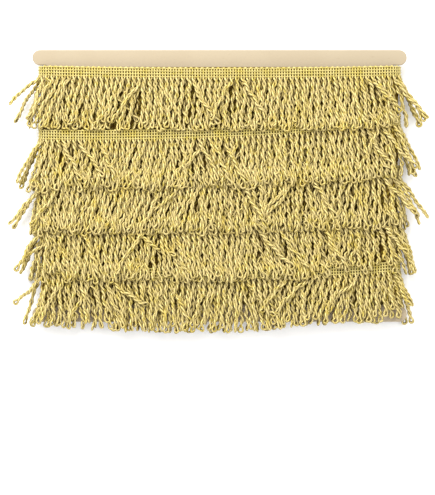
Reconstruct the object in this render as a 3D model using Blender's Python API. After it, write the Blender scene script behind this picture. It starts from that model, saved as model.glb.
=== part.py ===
"""Bullion fringe wound in five turns on a flat card, lying on its back.

The object is modelled standing up, as it is seen face on: X to the right, Z up and the front
towards -Y, with Z = 0 at the card's lower edge. One empty then lays it on its back, so that the
front faces +Z and the card's upper edge is towards +Y.

A place round the card is a lap: 0 to 1 runs along the front from left to right, 1 to 2 round the
right edge, 2 to 3 along the back from right to left, and 3 to 4 round the left edge. -1 to 0 is
the left edge again. An offset is a distance out from the card's middle plane.
"""

import math
import random
from collections import namedtuple

import bmesh
import bpy

# Card, in metres
CARD_WIDTH = 0.292
CARD_HEIGHT = 0.212
CARD_THICKNESS = 0.003
EAR_HEIGHT = 0.012
NECK_WIDTH = 0.2688
NECK_FILLET = 0.0015

# Trim, in metres
HEADING_HEIGHT = 0.0080
HEADING_THICKNESS = 0.0018
HEADING_CORDS = 4
HEADING_RELIEF = 0.0004
PARTING = 0.0003
STRIP_HEIGHT = 0.0011
CORD_LENGTH = 0.040
LOCK_THICKNESS = 0.003
LOCK_WIDEST = 0.0078
LOCK_NARROWEST = 0.0036
LOCK_FILL = 0.8
TIP_LENGTH = 0.004
TIP_TAPER = 0.55
LEAST_TIP_SPACING = 0.0056
STEEPEST = 0.8
LENGTH_SPREAD = 0.0022
LOCKS_PER_FACE = 28
BEND_STEPS = 4
TAIL_LOCKS = 8
HEADING_STRIDE = 4

# Offsets from the card's middle plane, in metres
EDGE_ROOM = 0.0009
BED_INNER = 0.002
BED_LOW = 0.0052
BED_HIGH = 0.006
HEADING_INNER = BED_HIGH + PARTING
HEADING_OUTER = HEADING_INNER + HEADING_THICKNESS
OVER_INNER = HEADING_OUTER + PARTING
OVER_OUTER = OVER_INNER + LOCK_THICKNESS

# Heights on the way down a lock, in metres
THIN_ROOT = 0.0095
CLEAR_ABOVE_HEADING = 0.003

# The inner turns
BED_TOP = 0.0135
BED_END = 0.1985
BED_TEETH = 5
BED_CREST = (0.55, 0.98)

TRIM_TOP_TO_ROOT = HEADING_HEIGHT + PARTING + STRIP_HEIGHT
BEND_CENTRE = NECK_WIDTH / 2 - EDGE_ROOM

# left, middle and right are how far the heading's top edge lies below the card's top edge, in
# metres. reach_left and reach_right are how far the outermost locks stand out from the edges.
# leans are the lean of the cords in degrees, in even steps from left to right, + to the right.
Row = namedtuple("Row", "left middle right reach_left reach_right leans")
ROWS = (
    Row(0.0125, 0.0140, 0.0125, 0.021, 0.017,
        (-28, -15, -12, -10, 3, 10, 15, 22, 12, -15, 0, -8, 18, 22, 30)),
    Row(0.0620, 0.0601, 0.0507, 0.015, 0.013,
        (-30, -25, -25, -25, -12, -5, 27, 5, 0, 12, -8, -12, 0, 8, 25)),
    Row(0.0952, 0.0952, 0.0897, 0.019, 0.016,
        (-12, 0, -32, -34, -25, -8, -6, 0, 20, 0, 0, 22, -22, -10, 15)),
    Row(0.1310, 0.1318, 0.1264, 0.014, 0.012,
        (-8, 0, 8, 10, -5, 24, 6, 8, 34, 28, 10, -12, -15, -10, 12)),
    Row(0.1660, 0.1700, 0.1646, 0.020, 0.013,
        (-5, 12, 0, 20, -5, -10, -28, 0, 17, 10, -15, -25, -30, -25, 8)),
)

# Shares of a row's reach: of the outermost lock on a face, of the first one round an edge, and
# the fullest that an edge's table of locks comes to
FACE_REACH = 0.55
BEND_REACH = 0.6
BEND_FULLEST = 0.75
LEAN_BEHIND = 0.6
SHARP_ANGLE = 40
SPREAD_PASSES = 400
CROSSING_PASSES = 3

# Laying down: the empty's place puts the origin at the middle of the part's footprint
FOOTPRINT_SHIFT = (0.0010, -0.1026, OVER_OUTER)

KRAFT = (0.80, 0.67, 0.46)
GOLD = (0.62, 0.50, 0.17)
SHADED_GOLD = (0.45, 0.36, 0.12)


def material(name, colour, roughness, metallic=0.0):
    """A Principled material with one colour."""
    made = bpy.data.materials.new(name)
    made.use_nodes = True
    shader = made.node_tree.nodes["Principled BSDF"]
    shader.inputs["Base Color"].default_value = (*colour, 1)
    shader.inputs["Roughness"].default_value = roughness
    shader.inputs["Metallic"].default_value = metallic
    return made


def around(lap, offset):
    """The place at a lap and an offset, and the outward direction there, both as (x, y)."""
    turn = lap % 4
    side, share = int(turn), turn % 1
    run = BEND_CENTRE * (2 * share - 1)
    angle = math.pi * share
    if side == 0:
        return (run, -offset), (0.0, -1.0)
    if side == 2:
        return (-run, offset), (0.0, 1.0)
    mirror = 1 if side == 1 else -1
    out = (mirror * math.sin(angle), -mirror * math.cos(angle))
    return (mirror * BEND_CENTRE + out[0] * offset, out[1] * offset), out


def heading_drop(row, lap):
    """How far the heading's top edge lies below the card's top edge. Row 0 is the top one.
    The trim is wound upwards: behind the card it climbs to the left end of the row above."""
    this = ROWS[row]
    above = ROWS[row - 1].left if row else this.right
    if lap <= 0:
        return this.left
    if lap < 1:
        straight = this.left + (this.right - this.left) * lap
        sag = this.middle - (this.left + this.right) / 2
        return straight + sag * 4 * lap * (1 - lap)
    if lap <= 2:
        return this.right
    return this.right + (above - this.right) * min(lap - 2, 1)


def room_below(row, lap):
    """From this heading's top edge down to the next heading's, at the same lap."""
    if row + 1 == len(ROWS):
        return CARD_HEIGHT
    return heading_drop(row + 1, lap) - heading_drop(row, lap)


def height(drop):
    """Height of a point that lies this far below the card's top edge."""
    return CARD_HEIGHT - drop


def beside(lap, aside):
    """The lap that lies this far along X from a lap on the front or behind."""
    run = aside / (2 * BEND_CENTRE)
    side = int(lap % 4)
    if side == 0:
        return min(max(lap + run, 0.0), 1.0)
    if side == 2:
        return min(max(lap - run, 2.0), 3.0)
    return lap


def loft(bm, sections, closed=False):
    """Joins each section's points to the next one's, and caps the ends unless it closes.
    Returns the side faces: sides[i][j] starts at point j of section i."""
    points = [[bm.verts.new(point) for point in section] for section in sections]
    count = len(sections[0])
    pairs = list(zip(points, points[1:]))
    if closed:
        pairs.append((points[-1], points[0]))
    sides = [
        [bm.faces.new((a[j], b[j], b[(j + 1) % count], a[(j + 1) % count])) for j in range(count)]
        for a, b in pairs
    ]
    if not closed:
        bm.faces.new(points[0])
        bm.faces.new(reversed(points[-1]))
    return sides


def finish(bm, name, surface):
    """Makes the mesh an object of the fringe's collection, lying on its back."""
    bmesh.ops.recalc_face_normals(bm, faces=bm.faces)
    mesh = bpy.data.meshes.new(name)
    bm.to_mesh(mesh)
    bm.free()
    mesh.materials.append(surface)
    mesh.shade_smooth()
    mesh.set_sharp_from_angle(angle=math.radians(SHARP_ANGLE))
    made = bpy.data.objects.new(name, mesh)
    collection.objects.link(made)
    made.parent = laid_down
    return made


def band_section(row, lap, profile):
    """The trim's band at a lap. The profile has pairs of an offset and a distance down from the
    heading's top edge."""
    drop = heading_drop(row, lap)
    corners = []
    for offset, down in profile:
        (x, y), _ = around(lap, offset)
        corners.append((x, y, height(drop + down)))
    return corners


def turn_laps(row, stride=1):
    """The laps at which a turn's locks meet, or every few of them on the card's faces. A turn
    starts and ends in the middle of the left edge, and the topmost one ends behind the card."""
    face = [lock / LOCKS_PER_FACE for lock in range(0, LOCKS_PER_FACE, stride)]
    tail = [lock / LOCKS_PER_FACE for lock in range(0, TAIL_LOCKS + 1, stride)]
    inset = PARTING / (2 * math.pi * HEADING_INNER)
    laps = [-0.5 + inset, -0.25]
    laps += face
    laps += [1 + step / BEND_STEPS for step in range(BEND_STEPS)]
    if row == 0:
        return laps + [2 + share for share in tail]
    return laps + [2 + share for share in face] + [3.0, 3.25, 3.5 - inset]


def lean_at(leans, share):
    """The lean in degrees at a share of the way along a row, between the table's steps."""
    place = share * (len(leans) - 1)
    step = min(int(place), len(leans) - 2)
    return leans[step] + (leans[step + 1] - leans[step]) * (place - step)


def spread_tips(places, shifts, low, high):
    """Tip places along a row, moved apart until none is nearer its neighbour than the least
    spacing, so that locks bunch without crossing."""
    tips = [low] + [place + shift for place, shift in zip(places, shifts)] + [high]
    for _ in range(SPREAD_PASSES):
        for i in range(1, len(tips)):
            short = LEAST_TIP_SPACING - (tips[i] - tips[i - 1])
            if short > 0:
                tips[i - 1] -= short / 2 if i > 1 else 0
                tips[i] += short / 2 if i < len(tips) - 1 else 0
    return tips[1:-1]


def face_plan(row, behind):
    """For each lock on the front, or behind, from left to right as seen from the front: how far
    its tip moves along X, and the width that its neighbours leave for the tip."""
    leans = ROWS[row].leans
    if behind:
        borrowed = ROWS[(row + 2) % len(ROWS)].leans
        leans = [LEAN_BEHIND * lean for lean in reversed(borrowed)]
    places, shifts = [], []
    for lock in range(LOCKS_PER_FACE):
        share = (lock + 0.5) / LOCKS_PER_FACE
        places.append(BEND_CENTRE * (2 * share - 1))
        shifts.append(CORD_LENGTH * math.sin(math.radians(lean_at(leans, share))))
    low = -BEND_CENTRE - FACE_REACH * ROWS[row].reach_left
    high = BEND_CENTRE + FACE_REACH * ROWS[row].reach_right
    tips = spread_tips(places, shifts, low, high)
    spacings = [high_tip - low_tip for low_tip, high_tip in zip(tips, tips[1:])]
    plan = []
    for lock, (tip, place) in enumerate(zip(tips, places)):
        nearest = min(spacings[max(lock - 1, 0) : lock + 1])
        width = min(LOCK_WIDEST, max(LOCK_NARROWEST, LOCK_FILL * nearest))
        plan.append((tip - place, width))
    return plan


def bend_plan(row, lap):
    """The same two sizes for a lock on an edge: the ones in the middle of it stand out most."""
    share = lap % 1
    reach = BEND_REACH + (1 - BEND_REACH) * (1 - abs(2 * share - 1)) / BEND_FULLEST
    if 1 < lap < 2:
        return ROWS[row].reach_right * reach, LOCK_NARROWEST
    left_row = row if lap < 0 else max(row - 1, 0)
    return -ROWS[left_row].reach_left * reach, LOCK_NARROWEST


def turn_plan(row):
    """A function that gives those sizes for any lock of the turn."""
    front = face_plan(row, behind=False)
    back = face_plan(row, behind=True)

    def plan(lap):
        lock = int(lap % 1 * LOCKS_PER_FACE)
        if 0 <= lap < 1:
            return front[lock]
        if 2 <= lap < 3:
            return back[LOCKS_PER_FACE - 1 - lock]
        return bend_plan(row, lap)

    return plan


def lock_sections(row, start, end, shift, tip_width, length):
    """The lock's sections below its root, each with its outer start, outer end, inner end and
    inner start. It leaves the strip thin, climbs over the next heading and lies flat to its tip."""
    middle = (start + end) / 2
    shift = max(-STEEPEST * length, min(STEEPEST * length, shift))
    fall = math.sqrt(length**2 - shift**2)
    root_drop = heading_drop(row, middle) + TRIM_TOP_TO_ROOT
    climb = fall
    for _ in range(CROSSING_PASSES):
        crossing = beside(middle, shift * climb / fall)
        next_top = heading_drop(row, crossing) + room_below(row, crossing)
        climb = next_top - root_drop - CLEAR_ABOVE_HEADING
    lifted = OVER_INNER if climb < fall else HEADING_INNER
    climb = min(climb, fall - 2 * TIP_LENGTH)
    root_width = LOCK_FILL * math.dist(around(start, HEADING_OUTER)[0], around(end, HEADING_OUTER)[0])
    climb_width = root_width + (tip_width - root_width) * climb / fall
    steps = (
        (THIN_ROOT, HEADING_INNER, HEADING_THICKNESS, root_width),
        (climb, lifted, LOCK_THICKNESS, climb_width),
        (fall - TIP_LENGTH, lifted, LOCK_THICKNESS, tip_width),
        (fall, lifted, LOCK_THICKNESS, tip_width * TIP_TAPER),
    )
    _, out = around(middle, 0)
    along = (-out[1], out[0])
    sections = []
    for down, inner, thickness, width in steps:
        aside = shift * down / fall
        corners = []
        outer = inner + thickness
        for offset, half in ((outer, -0.5), (outer, 0.5), (inner, 0.5), (inner, -0.5)):
            (x, y), _ = around(middle, offset)
            x += aside + along[0] * half * width
            y += along[1] * half * width
            corners.append((x, y, height(root_drop + down)))
        sections.append(corners)
    return sections


def hang(bm, face, sections):
    """Draws a lock out of a face, one section after another, corner by corner."""
    for section in sections:
        face = bmesh.ops.extrude_discrete_faces(bm, faces=[face])["faces"][0]
        for corner, place in zip(face.verts, section):
            corner.co = place


def make_skirt(row, dice):
    """One turn of locks, drawn out of the underside of a narrow strip below the heading."""
    bm = bmesh.new()
    laps = turn_laps(row)
    top = HEADING_HEIGHT + PARTING
    profile = (
        (HEADING_INNER, top),
        (HEADING_OUTER, top),
        (HEADING_OUTER, TRIM_TOP_TO_ROOT),
        (HEADING_INNER, TRIM_TOP_TO_ROOT),
    )
    underside = 2
    sides = loft(bm, [band_section(row, lap, profile) for lap in laps])
    plan = turn_plan(row)
    for faces, start, end in zip(sides, laps, laps[1:]):
        shift, tip_width = plan((start + end) / 2)
        length = CORD_LENGTH - LENGTH_SPREAD * dice.random()
        hang(bm, faces[underside], lock_sections(row, start, end, shift, tip_width, length))
    return finish(bm, f"skirt_turn_{len(ROWS) - row}", gold)


def make_heading():
    """The woven heading, one band from the lowest turn's start to its end behind the card, with
    a ridge on its outer side for each of its lengthwise cords."""
    bm = bmesh.new()
    steps = 2 * HEADING_CORDS
    profile = [(HEADING_INNER, HEADING_HEIGHT), (HEADING_INNER, 0)]
    for step in range(steps + 1):
        relief = 0 if step % 2 else HEADING_RELIEF
        profile.append((HEADING_OUTER - relief, HEADING_HEIGHT * step / steps))
    sections = []
    for row in reversed(range(len(ROWS))):
        laps = turn_laps(row, HEADING_STRIDE)
        if sections:
            laps = laps[1:]
        sections += [band_section(row, lap, profile) for lap in laps]
    loft(bm, sections)
    return finish(bm, "heading", gold)


def make_inner_turns():
    """The turns underneath, as one wound form round the card with a step for each row."""
    bm = bmesh.new()
    pitch = (BED_END - BED_TOP) / BED_TEETH
    outside = []
    for tooth in range(BED_TEETH):
        start = BED_TOP + tooth * pitch
        outside.append((BED_LOW, start))
        outside += [(BED_HIGH, start + share * pitch) for share in BED_CREST]
    profile = [(BED_INNER, BED_TOP)] + outside + [(BED_LOW, BED_END), (BED_INNER, BED_END)]
    laps = []
    for side in range(4):
        steps = BEND_STEPS if side % 2 else 1
        laps += [side + step / steps for step in range(steps)]
    sections = []
    for lap in laps:
        section = []
        for offset, drop in profile:
            (x, y), _ = around(lap, offset)
            section.append((x, y, height(drop)))
        sections.append(section)
    loft(bm, sections, closed=True)
    return finish(bm, "inner_turns", shaded_gold)


def arc(centre, radius, start, end, steps=8):
    """Points on an arc, with its angles in degrees."""
    points = []
    for step in range(steps + 1):
        angle = math.radians(start + (end - start) * step / steps)
        points.append((centre[0] + radius * math.cos(angle), centre[1] + radius * math.sin(angle)))
    return points


def make_card():
    """The card: a board with round-ended ears above and below a narrower neck."""
    radius = EAR_HEIGHT / 2
    tip = CARD_WIDTH / 2 - radius
    corner = NECK_WIDTH / 2 + NECK_FILLET
    right = arc((tip, radius), radius, -90, 90)
    right += arc((corner, EAR_HEIGHT + NECK_FILLET), NECK_FILLET, -90, -180, 3)
    upper = [(x, CARD_HEIGHT - y) for x, y in reversed(right)]
    right += upper
    outline = right + [(-x, y) for x, y in reversed(right)]
    data = bpy.data.curves.new("winding_card", "CURVE")
    data.dimensions = "2D"
    data.fill_mode = "BOTH"
    data.extrude = CARD_THICKNESS / 2
    spline = data.splines.new("POLY")
    spline.points.add(len(outline) - 1)
    for point, (x, y) in zip(spline.points, outline):
        point.co = (x, y, 0, 1)
    spline.use_cyclic_u = True
    data.materials.append(kraft)
    card = bpy.data.objects.new("winding_card", data)
    card.rotation_euler = (math.pi / 2, 0, 0)
    collection.objects.link(card)
    card.parent = laid_down
    return card


for old in list(bpy.data.objects):
    bpy.data.objects.remove(old)

collection = bpy.data.collections.new("bullion_fringe_on_card")
bpy.context.scene.collection.children.link(collection)
laid_down = bpy.data.objects.new("laid_down", None)
laid_down.rotation_euler = (-math.pi / 2, 0, 0)
laid_down.location = FOOTPRINT_SHIFT
collection.objects.link(laid_down)

kraft = material("kraft board", KRAFT, 0.85)
gold = material("gold bullion yarn", GOLD, 0.45, 0.25)
shaded_gold = material("gold yarn underneath", SHADED_GOLD, 0.55, 0.2)

make_card()
make_inner_turns()
make_heading()
length_dice = random.Random(7)
for row_index in range(len(ROWS)):
    make_skirt(row_index, length_dice)
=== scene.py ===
"""Bullion fringe on its winding card: the yarn, the woven heading and the board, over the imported
solids.

The trim is one gold yarn. It goes up and down through the heading as ribs, under and over four
lengthwise threads, and below the heading each pair of ribs twists together into a hanging cord
that ends in a loop. The trim is wound round the card from the bottom to the top.

A place round the card is a lap: 0 to 1 runs along the front from left to right, 1 to 2 round the
right edge, 2 to 3 along the back from right to left, and 3 to 4 round the left edge. A drop is a
distance below the card's top edge, and an offset is a distance out from its middle plane. In the
card's own directions X is right, Y is into the back and Z is up.
"""

import math
from collections import namedtuple

import bpy
import numpy as np
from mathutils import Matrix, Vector


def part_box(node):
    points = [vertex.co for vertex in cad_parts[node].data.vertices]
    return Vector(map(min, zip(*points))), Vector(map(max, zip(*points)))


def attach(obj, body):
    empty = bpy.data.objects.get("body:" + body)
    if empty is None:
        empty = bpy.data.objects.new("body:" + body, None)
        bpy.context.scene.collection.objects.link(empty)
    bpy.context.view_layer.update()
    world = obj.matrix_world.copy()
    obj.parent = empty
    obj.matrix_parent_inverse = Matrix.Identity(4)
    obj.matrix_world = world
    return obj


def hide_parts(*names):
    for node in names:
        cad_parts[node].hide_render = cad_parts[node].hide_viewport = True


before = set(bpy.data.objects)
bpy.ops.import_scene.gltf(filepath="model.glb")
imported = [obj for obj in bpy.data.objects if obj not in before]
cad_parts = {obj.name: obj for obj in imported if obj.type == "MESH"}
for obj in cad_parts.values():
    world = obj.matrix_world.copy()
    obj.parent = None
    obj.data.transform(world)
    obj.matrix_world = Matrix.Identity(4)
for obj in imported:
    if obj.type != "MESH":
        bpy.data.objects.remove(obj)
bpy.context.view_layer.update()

bl_info = {
    "name": "Bullion fringe on a card",
    "version": (1, 0, 0),
    "blender": (4, 5, 0),
    "location": "3D View > Sidebar > Fringe",
    "description": "Makes a twisted-cord fringe with its woven heading, wound on a card",
    "category": "Add Mesh",
}

MM = 0.001

# The card as packed: its middle plane, its lower edge and its sizes
CARD_LOW, CARD_HIGH = (np.array(corner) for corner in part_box("winding_card"))
CARD_MIDDLE_X = (CARD_LOW[0] + CARD_HIGH[0]) / 2
CARD_MIDDLE_Z = (CARD_LOW[2] + CARD_HIGH[2]) / 2
CARD_WIDTH, CARD_HEIGHT, CARD_THICKNESS = CARD_HIGH - CARD_LOW
EAR_HEIGHT = 12 * MM
NECK_WIDTH = 268.8 * MM
NECK_FILLET = 1.5 * MM
CARD_ROUNDING = 0.7 * MM
EDGE_ROOM = 0.9 * MM
BEND_CENTRE = NECK_WIDTH / 2 - EDGE_ROOM

# The inner turns: their offsets, inside, on the front, and elsewhere between the ridges and on
# them, the height of the front's ridges, the drops at which they begin and end with the points
# between, and how far their ridges sway in broad and in close waves
BED_INNER = 2.0 * MM
BED_FRONT = 2.5 * MM
BED_LOW = 3.8 * MM
BED_HIGH = 6.0 * MM
FRONT_RIDGE = 0.6 * MM
BED_TOP = 13.5 * MM
BED_END = 198.5 * MM
BED_POINTS = 71
BROAD_SWAY = 7 * MM
CLOSE_SWAY = 4 * MM

# Offsets of the heading's middle and of its outer side
HEADING_MIDDLE = 6.9 * MM
HEADING_OUTER = 8.1 * MM

# left, middle and right are the drops of the heading's top edge along a row. reach_left and
# reach_right are how far the outermost cords stand out from the edges. leans are the lean of the
# cords in degrees, in even steps from left to right, + to the right. strays are single cords that
# are placed one by one: their lap, their lean, and their bend on the way, in degrees. shorts are
# stretches of shorter cords: the lap of their middle, half their width in laps, and their length as
# a share of the others'.
Row = namedtuple("Row", "left middle right reach_left reach_right leans strays shorts")
ROWS = (
    Row(12.5 * MM, 14.0 * MM, 12.5 * MM, 18 * MM, 22 * MM,
        (-26, -19, -14, -18, -2, -8, 2, -12, -10, -14, -8, 0, 4, 12, 24),
        ((-0.35, -45, 4), (0.005, -34, 4), (0.02, -31, 4), (0.036, -27, 0), (0.052, -23, 0),
         (0.53, -30, 12), (0.57, 32, 0), (0.95, 40, 6)),
        ((-0.4, 0.1, 0.78),)),
    Row(62.0 * MM, 60.1 * MM, 50.7 * MM, 14 * MM, 14 * MM,
        (-16, -18, -24, -26, -18, -14, 8, 0, -6, 0, -2, 0, -6, 4, 18),
        ((-0.2, -30, 24), (0.05, 24, 8), (0.10, 34, 0), (0.44, 24, -6), (0.97, 38, 10),
         (1.2, 22, -20)),
        ()),
    Row(95.2 * MM, 95.2 * MM, 89.7 * MM, 17 * MM, 16 * MM,
        (-14, -18, -30, -32, -24, -22, -24, -10, -2, 0, -4, 4, -14, -8, 8),
        ((-0.2, -36, -20), (0.03, -32, -24), (0.56, 30, 0), (0.78, 34, -12), (0.97, 42, 0)),
        ()),
    Row(131.0 * MM, 131.8 * MM, 126.4 * MM, 17 * MM, 13 * MM,
        (-12, -6, -10, -2, -10, 16, 2, 6, -2, 10, 3, -8, -14, 4, 16),
        ((-0.2, -30, 10), (0.29, -38, 20), (0.61, 42, 0), (0.67, 34, 10), (0.80, 28, 0),
         (0.97, 38, 12), (1.0, 4, 0)),
        ((0.025, 0.03, 0.86), (0.865, 0.06, 0.76), (0.97, 0.05, 0.78))),
    Row(166.0 * MM, 170.0 * MM, 164.6 * MM, 13 * MM, 6 * MM,
        (-8, 2, 10, 10, 0, -8, -26, -16, 4, 6, -20, -18, -26, -12, -2),
        ((-0.2, -38, -50), (0.03, -20, -30), (0.70, -40, 20), (0.75, -46, 26), (1.1, 20, 20),
         (1.25, 12, 50)),
        ((-0.2, 0.05, 0.8), (1.0, 0.5, 0.92), (1.0, 0.018, 0.8), (1.25, 0.22, 0.78))),
)
# How much of the back the top turn's tail crosses
TAIL_SHARE = 8 / 28

# The random draws: the cords' seed, to which a row adds its number, and the heading's
SEED = 20
HEADING_SEED = 120

# The heading's threads: how many, their spacing and first place as shares of its height, and
# how far they stand out from the ribs' middle and dip between them. RIB_SHARE is a rib's radius
# as a share of the yarn's, because the weave pulls it tight, and RIB_POINTS its points up a side
THREADS = 4
THREAD_SPACING = 0.275
THREAD_FIRST = 0.13
THREAD_LIFT = 0.55 * MM
THREAD_DIP = 0.35 * MM
RIB_SHARE = 0.7
RIB_POINTS = 6

# The cords' middle lines: how many points each has, and how many of them the heading holds
CORD_POINTS = 16
CLAMPED = 2

# The disorder of the cords' plan. LENGTH: how much shorter the shortest are, and how few are
# short. LEAN and CROSSING, in degrees: how far the leans differ, how many cords cross the others
# and how steeply, and the share of a lean behind the card. BEND: how far the cords bend, in
# degrees, and where on the way down they turn back. LIFT: how far they stand off the others,
# least, by chance, and for a stray. WAY: the share of the way down at which a lift is full, and
# a lean, for the cords of a face, the strays, and the cords round the edges
LENGTH_SPREAD = 0.17
LENGTH_RARITY = 1.7
LEAN_SPREAD = 7.0
CROSSING_SHARE = 0.22
CROSSING_LEAN = 22.0
LEAN_BEHIND = 0.6
BEND_SPREAD = 9.0
BEND_TURN = 0.4
LEAST_LIFT = 1.2 * MM
LIFT_SPREAD = 2.2 * MM
STRAY_LIFT = 3.5 * MM
LIFT_WAY = 0.4
LEAN_WAY = 0.33
STRAY_WAY = 0.12
EDGE_WAY = 0.16

# Round the card's edges: how much of its reach a cord has at the corner, and more of it halfway
# round, how far the reaches differ, and the sine of the steepest splay
CORNER_REACH = 0.2
EDGE_REACH = 1.05
REACH_SPREAD = (0.3, 1.3)
MOST_SPLAY = 0.85

# The length in a stretch of shorter cords is least over a part of it, which grows with this
SHORT_FLAT = 1.6

# The rear cords of a turn hang between the front ones and behind them: how far behind, the
# offset of what they lie on and their play above it, their spread of lengths and their share of
# the front ones' lean. Then the offset and the play of the front ones
REAR_DEPTH = 2.6 * MM
REAR_BASE = 2.7 * MM
REAR_PLAY = 2.6 * MM
REAR_SPREAD = 0.06
REAR_LEAN = 0.3
FRONT_BASE = 5.2 * MM
FRONT_PLAY = 5.5 * MM

# The step over the next heading down: its softness above and below, how far below that
# heading's top edge it ends, and its clearance
STEP_ABOVE = 3 * MM
STEP_BELOW = 4 * MM
STEP_END = 13 * MM
STEP_CLEARANCE = 0.2 * MM

# The settling: its passes, after how many of them near pairs are looked for again, within what
# reach, and for how many points at a time. In a pass: the pull to the plan, the pull to the
# middle between the neighbours on a face, or within EDGE_JOINING laps of it, the straightening,
# the sagging and the swelling. Then how thick a cord is in its radii, and how many touches of a
# point are answered in full
PASSES = 96
PAIR_EVERY = 12
PAIR_REACH = 6 * MM
PAIR_BLOCK = 256
PLAN_PULL = 0.03
EVENING = 0.1
EDGE_JOINING = 0.2
STIFFNESS = 0.35
SAG_STEP = 0.05 * MM
SWELL_STEP = 0.03 * MM
CORD_THICKNESS = 1.88
FULL_TOUCHES = 1.4
FRONT, BACK = 1, 2

# A cord's two yarns: the sections of its twist and of half its loop, the size of its waves and
# how many it has, how far its yarns gape, how near their middles are where they are pressed
# together, in yarn radii, how far they differ in twist, how far its loops differ in width, and
# half a loop's length as a share of its width
CURVE_SAMPLES = 96
TWIST_SECTIONS = 32
LOOP_SECTIONS = 5
WAVE = 0.7 * MM
WAVE_TURNS = (1.2, 3.2)
WAVE_WAY = 0.25
SLACK = 0.36
GAPE_TURNS = (1, 4)
PRESSED = 0.78
TWIST_TILT = 0.8
TWIST_WAVER = 0.5
LOOP_SPREAD = (0.6, 1.25)
LOOP_ROUNDNESS = 0.55

# The sides of the tubes: the front yarns and the ribs, the rear yarns, and the threads
YARN_SIDES = 4
REAR_SIDES = 3
THREAD_SIDES = 3

# Lengths at a cord's two ends: over which its yarns close below the heading and their gape and
# twist begin, and over which they open above the loop and keep from turning
CLOSING = 3 * MM
GAPE_START = 5 * MM
TWIST_START = 0.6 * MM
OPENING = 3 * MM
TWIST_END = 2.5 * MM


def length(name, description, default, least):
    """A length that a user may change."""
    return bpy.props.FloatProperty(
        name=name, description=description, default=default, min=least, unit="LENGTH"
    )


def colour(name, description, default):
    """A colour that a user may change."""
    return bpy.props.FloatVectorProperty(
        name=name, description=description, default=default, subtype="COLOR", min=0, max=1
    )


class FringeSizes(bpy.types.PropertyGroup):
    """Sizes of the trim."""

    cord_pitch: length(
        "Cord pitch", "From one hanging cord to the next, along the heading", 4.2 * MM, 3 * MM
    )
    cord_length: length(
        "Cord length",
        "From the heading's lower edge to the end of a cord's loop",
        42.5 * MM,
        10 * MM,
    )
    yarn_radius: length("Yarn radius", "Half the thickness of the gold yarn", 0.98 * MM, 0.2 * MM)
    twist_length: length(
        "Twist length",
        "The length of cord in which its two yarns go round each other once",
        11.0 * MM,
        2 * MM,
    )
    loop_width: length(
        "Loop width",
        "Across the open loop at a cord's end, between the yarn's middles",
        3.0 * MM,
        1.6 * MM,
    )
    heading_height: length(
        "Heading height",
        "From the heading's scalloped top to its lower edge, where the cords begin",
        8.0 * MM,
        3 * MM,
    )
    thread_radius: length(
        "Thread radius",
        "Half the thickness of the heading's lengthwise threads",
        0.58 * MM,
        0.1 * MM,
    )


class FringeColours(bpy.types.PropertyGroup):
    """Colours of the trim and the card."""

    gold_light: colour("Bright gold", "The metal strip in the yarn", (0.665, 0.548, 0.225))
    gold_deep: colour("Deep gold", "The yarn between its metal strips", (0.485, 0.383, 0.055))
    gold_grey: colour("Grey gold", "The greyer strands in the yarn", (0.53, 0.435, 0.195))
    gold_warm: colour("Warm gold", "The warmer stretches of the yarn", (0.54, 0.41, 0.06))
    # This colour is painted shade: it is laid on a yarn's inner side where two yarns meet, in the
    # grooves between its strands, on the deep cords, on the covered headings and on the cords
    # underneath
    gold_painted_shade: colour(
        "Shaded gold", "The yarn's inner side, where two yarns meet", (0.085, 0.045, 0.002)
    )
    kraft: colour("Kraft", "The card's paper", (0.362, 0.298, 0.204))
    kraft_dark: colour("Kraft fibre", "The darker fibres in the paper", (0.257, 0.193, 0.121))
    floor: colour("Floor", "The plain floor under the part", (0.93, 0.93, 0.93))


# The heading's colours as shares of the cords', how much painted shade darkens the deepest cords,
# and the painted shade on the third and fourth headings, which other rows cover, with the drops
# between which they lie. Then the height above the rear cords' base over which that painted shade
# fades out, and the distance from an edge over which it fades to none
HEADING_TINT = (1.18, 1.22, 1.14)
CORD_TINT = (1.0, 1.0, 1.0)
DEPTH_SHADE = 0.92
COVERED_SHADE = 0.5
COVERED_FROM = 85 * MM
COVERED_TO = 150 * MM
OPEN_HEIGHT = 3.2 * MM
EDGE_FADE = 6 * MM

# The yarn's own strands: how many go round it, and their turns in a metre of yarn. The fibres
# in them: how many run end to end in a metre, and how many lie side by side in a radius. The
# patches of grey and of warm yarn, in a metre
STRANDS = 3.0
STRAND_TURNS = -125.0
FIBRE_RUNS = 400.0
FIBRES_ROUND = 1.5
GREY_PATCHES = 240.0
WARM_PATCHES = 75.0


class Value:
    """A number in a shader. Its operators add Math nodes."""

    def __init__(self, tree, socket):
        self.tree = tree
        self.socket = socket

    def maths(self, operation, *others):
        made = self.tree.nodes.new("ShaderNodeMath")
        made.operation = operation
        for place, other in zip(made.inputs, (self, *others)):
            if isinstance(other, Value):
                self.tree.links.new(other.socket, place)
            else:
                place.default_value = other
        return Value(self.tree, made.outputs[0])

    def __add__(self, other):
        return self.maths("ADD", other)

    __radd__ = __add__

    def __sub__(self, other):
        return self.maths("SUBTRACT", other)

    def __rsub__(self, other):
        return (self * -1) + other

    def __mul__(self, other):
        return self.maths("MULTIPLY", other)

    __rmul__ = __mul__

    def sine(self):
        return self.maths("SINE")

    def power(self, other):
        return self.maths("POWER", other)

    def between(self, low, high):
        """0 below low, 1 above high, and smooth from one to the other."""
        made = self.tree.nodes.new("ShaderNodeMapRange")
        made.interpolation_type = "SMOOTHSTEP"
        made.inputs["From Min"].default_value = low
        made.inputs["From Max"].default_value = high
        self.tree.links.new(self.socket, made.inputs["Value"])
        return Value(self.tree, made.outputs["Result"])


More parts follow.
